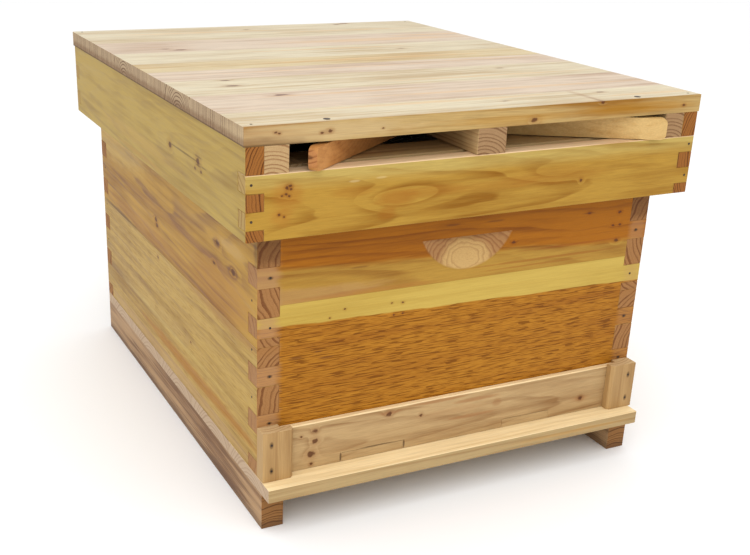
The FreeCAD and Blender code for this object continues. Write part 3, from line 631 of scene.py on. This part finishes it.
def metal(name, bright, dull, metallic, rough):
    """Steel with patches of rust or zinc bloom."""
    material, nodes = new_material(name)
    source = nodes.add("ShaderNodeTexCoord", {}).outputs["Object"]
    patches = nodes.noise(source, (900, 900, 900), 3.0, 0.6)[0]
    grit = nodes.noise(source, (6000, 6000, 6000), 2.0, 0.6)[0]
    colour = nodes.mix(nodes.step(patches, 0.42, 0.62), bright, dull)
    finish = nodes.math("MULTIPLY_ADD", patches, 0.35, rough)
    bumped = nodes.add("ShaderNodeBump", {"Strength": 0.25, "Distance": 0.0002, "Height": grit})
    shader = nodes.add("ShaderNodeBsdfPrincipled", {
        "Base Color": colour, "Roughness": finish, "Metallic": metallic,
        "Normal": bumped.outputs[0]})
    nodes.add("ShaderNodeOutputMaterial", {"Surface": shader.outputs[0]})
    return material


nail_steel = metal("nail_steel", linear(70, 56, 46), linear(40, 28, 22), 0.5, 0.4)
for node in ("wall_nails", "floor_nails", "entrance_stop_nails", "lid_nails", "shutter_nails"):
    paint(node, nail_steel)


CELL = 5.3


def wax_material():
    """Beeswax foundation pressed with the foot of a honeycomb, its cells CELL millimetres wide."""
    material, nodes = new_material("wax")
    source = nodes.add("ShaderNodeTexCoord", {}).outputs["Object"]
    _, y, z = nodes.split(nodes.scaled(source, 1 / (CELL * MM)))
    flat = nodes.join(0.0, y, z)
    high = (1.0, 0.5, 0.866)
    low = (-1.0, -0.5, -0.866)
    corner = (0.0, 0.5, 0.866)
    first = nodes.vector("WRAP", flat, high, low)
    second = nodes.vector("WRAP", nodes.vector("SUBTRACT", flat, corner), high, low)
    nearer = nodes.math("LESS_THAN", nodes.vector("LENGTH", first), nodes.vector("LENGTH", second))
    away = nodes.mix(nearer, nodes.vector("ABSOLUTE", second), nodes.vector("ABSOLUTE", first))
    slant = nodes.vector("DOT_PRODUCT", away, corner)
    edge = nodes.math("MAXIMUM", nodes.split(away)[1], slant)
    ridge = nodes.step(edge, 0.36, 0.49)
    cloud = nodes.noise(source, (28, 28, 28), 3.0, 0.6)[0]
    colour = nodes.mix(nodes.step(cloud, 0.25, 0.75), linear(222, 170, 84), linear(206, 148, 62))
    colour = nodes.mix(nodes.math("MULTIPLY", ridge, 0.6), colour, linear(240, 206, 132))
    finish = nodes.math("MULTIPLY_ADD", cloud, 0.2, 0.38)
    bumped = nodes.add("ShaderNodeBump", {"Strength": 0.7, "Distance": 0.0008, "Height": ridge})
    shader = nodes.add("ShaderNodeBsdfPrincipled", {
        "Base Color": colour, "Roughness": finish, "Normal": bumped.outputs[0],
        "Subsurface Weight": 0.15, "Subsurface Radius": (0.004, 0.002, 0.001)})
    nodes.add("ShaderNodeOutputMaterial", {"Surface": shader.outputs[0]})
    return material


paint("comb_sheets", wax_material())
screen_wire = metal("screen_wire", linear(172, 174, 176), linear(124, 126, 128), 0.85, 0.25)


def wire_cloth(node, pitch=0.0045, radius=0.00028):
    """Woven wire where the frame has a plain sheet: wires go over and under those they cross."""
    low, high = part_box(node)
    middle = (low.z + high.z) / 2
    counts = [int((high[axis] - low[axis] - 2 * radius) / pitch) + 1 for axis in (0, 1)]
    starts = [(low[axis] + high[axis] - pitch * (counts[axis] - 1)) / 2 for axis in (0, 1)]
    corners, faces = [], []
    for along, across in ((0, 1), (1, 0)):
        for row in range(counts[across]):
            side = starts[across] + row * pitch
            crossings = [starts[along] + n * pitch for n in range(counts[along])]
            stops = [low[along], *crossings, high[along]]
            first = len(corners)
            for number, stop in enumerate(stops):
                crossing = min(max(number - 1, 0), counts[along] - 1)
                lift = radius * (1 if (crossing + row + along) % 2 else -1)
                for turn in (90, 210, 330):
                    angle = math.radians(turn)
                    point = [0.0, 0.0, middle + lift + radius * math.sin(angle)]
                    point[along], point[across] = stop, side + radius * math.cos(angle)
                    corners.append(point)
            for number in range(len(stops) - 1):
                base = first + 3 * number
                for edge in range(3):
                    after = (edge + 1) % 3
                    quad = (base + edge, base + after, base + 3 + after, base + 3 + edge)
                    faces.append(quad[::-1] if along == 0 else quad)
            last = first + 3 * (len(stops) - 1)
            ends = [(first, first + 1, first + 2), (last + 2, last + 1, last)]
            faces += [end if along == 0 else end[::-1] for end in ends]
    mesh = bpy.data.meshes.new(f"{node}_cloth")
    mesh.from_pydata(corners, [], faces)
    mesh.polygons.foreach_set("use_smooth", [True] * len(faces))
    mesh.materials.append(screen_wire)
    cloth = bpy.data.objects.new(f"{node}_cloth", mesh)
    bpy.context.scene.collection.objects.link(cloth)
    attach(cloth, "inner_cover")
    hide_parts(node)


for node in ("cover_screen_front", "cover_screen_back"):
    wire_cloth(node)

# ---- light, floor and camera ------------------------------------------------------------------
scene = bpy.context.scene
scene.view_settings.view_transform = "Standard"
lid_front_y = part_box("lid_front")[0].y

world = bpy.data.worlds.new("studio")
scene.world = world
world.use_nodes = True
world.node_tree.nodes["Background"].inputs["Color"].default_value = (1, 1, 1, 1)
world.node_tree.nodes["Background"].inputs["Strength"].default_value = 1.04


def softbox(name, place, target, size, power):
    light = bpy.data.lights.new(name, "AREA")
    light.shape = "RECTANGLE"
    light.size, light.size_y = size
    light.energy = power
    lamp = bpy.data.objects.new(name, light)
    lamp.location = place
    lamp.rotation_euler = (Vector(target) - Vector(place)).to_track_quat("-Z", "Y").to_euler()
    scene.collection.objects.link(lamp)


softbox("overhead", (-0.2, -0.4, 2.2), (0, 0, 0.2), (1.6, 1.6), 9)
softbox("key", (-0.7, -1.7, 1.7), (0, 0, 0.2), (1.4, 1.4), 14)

floor_mesh = bpy.data.meshes.new("floor")
reach = 12.0
floor_corners = [(-reach, -reach, 0), (reach, -reach, 0), (reach, reach, 0), (-reach, reach, 0)]
floor_mesh.from_pydata(floor_corners, [], [(0, 1, 2, 3)])
floor = bpy.data.objects.new("floor", floor_mesh)
scene.collection.objects.link(floor)
paper = bpy.data.materials.new("floor_paper")
paper.use_nodes = True
paper_shader = paper.node_tree.nodes["Principled BSDF"]
paper_shader.inputs["Base Color"].default_value = (0.95, 0.95, 0.95, 1)
paper_shader.inputs["Roughness"].default_value = 0.9
floor_mesh.materials.append(paper)

camera_data = bpy.data.cameras.new("camera")
camera = bpy.data.objects.new("camera", camera_data)
scene.collection.objects.link(camera)
camera.location = (-0.5321, lid_front_y - 0.7767, 0.5545)
camera.rotation_euler = (1.1822, -0.0257, -0.4383)
camera_data.lens = 52.44
camera_data.sensor_width = 36
camera_data.shift_x = 0.0707
camera_data.shift_y = 0.0601
camera_data.clip_start = 0.01
scene.camera = camera
